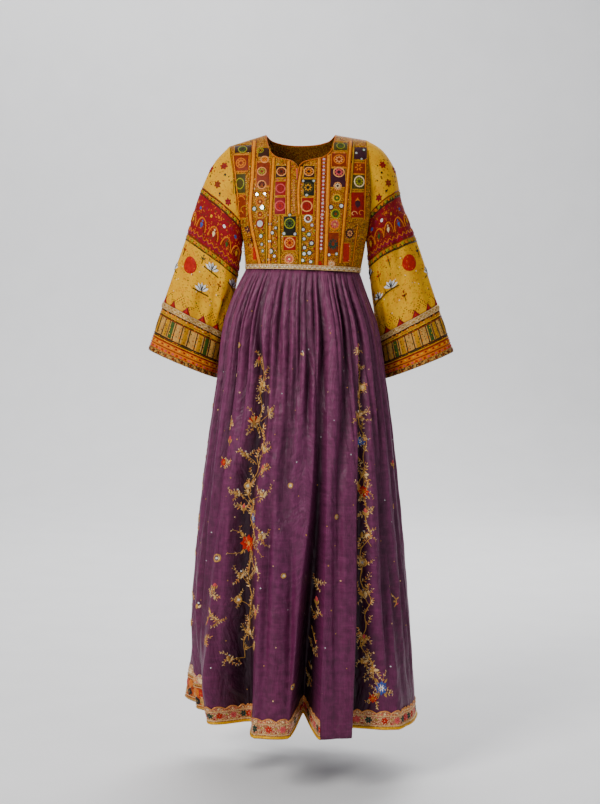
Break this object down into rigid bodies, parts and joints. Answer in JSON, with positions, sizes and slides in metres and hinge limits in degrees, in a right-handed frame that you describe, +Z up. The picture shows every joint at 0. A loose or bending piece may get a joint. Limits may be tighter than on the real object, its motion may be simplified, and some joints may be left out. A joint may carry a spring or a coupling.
{
  "type": "bell-sleeved maxi dress",
  "caption": "High-waisted long dress with patchwork bodice, wide banded bell sleeves and a full folded skirt with lace hem, kept hollow in its worn shape.",
  "frame": {"origin": "between the shoulders, 10 mm under the neck points, where the wearer carries the dress", "axes": "+Z up, +X towards the right sleeve as seen from the front, -Y out of the front"},
  "size_m": [0.7384, 0.4564, 1.3888],
  "materials": {
    "bodice_patchwork": "embroidered patchwork of red, orange and dark blocks",
    "orange_binding": "plain bias binding",
    "metallic_braid": "woven silver and gold thread braid",
    "sleeve_print": "patterned cotton in yellow, red and gold bands",
    "sleeve_border": "patterned border with upright olive and gold bars",
    "gold_ribbon": "shiny gold ribbon",
    "cuff_braid": "orange and dark brown braid",
    "plum_silk": "slubbed silk with a soft sheen",
    "gold_lace": "scalloped metallic lace",
    "border_print": "printed geometric band",
    "cream_lace": "scalloped lace"
  },
  "bodies": {
    "root": {"bodice_front": "bodice_patchwork", "bodice_back": "bodice_patchwork", "neck_binding_left": "orange_binding", "neck_binding_right": "orange_binding", "neck_binding_back": "orange_binding", "waist_braid_front": "metallic_braid", "waist_braid_back": "metallic_braid", "sleeve_left": "sleeve_print", "sleeve_right": "sleeve_print", "sleeve_ribbon_left": "gold_ribbon", "sleeve_ribbon_right": "gold_ribbon", "cuff_braid_left": "cuff_braid", "cuff_braid_right": "cuff_braid", "skirt_front_left": "plum_silk", "skirt_front_right": "plum_silk", "skirt_back_left": "plum_silk", "skirt_back_right": "plum_silk", "sleeve_border_left": "sleeve_border", "sleeve_border_right": "sleeve_border", "hem_trim_left": "gold_lace", "hem_trim_right": "gold_lace", "hem_border_back": "border_print", "hem_lace_back": "cream_lace"}
  },
  "joints": []
}
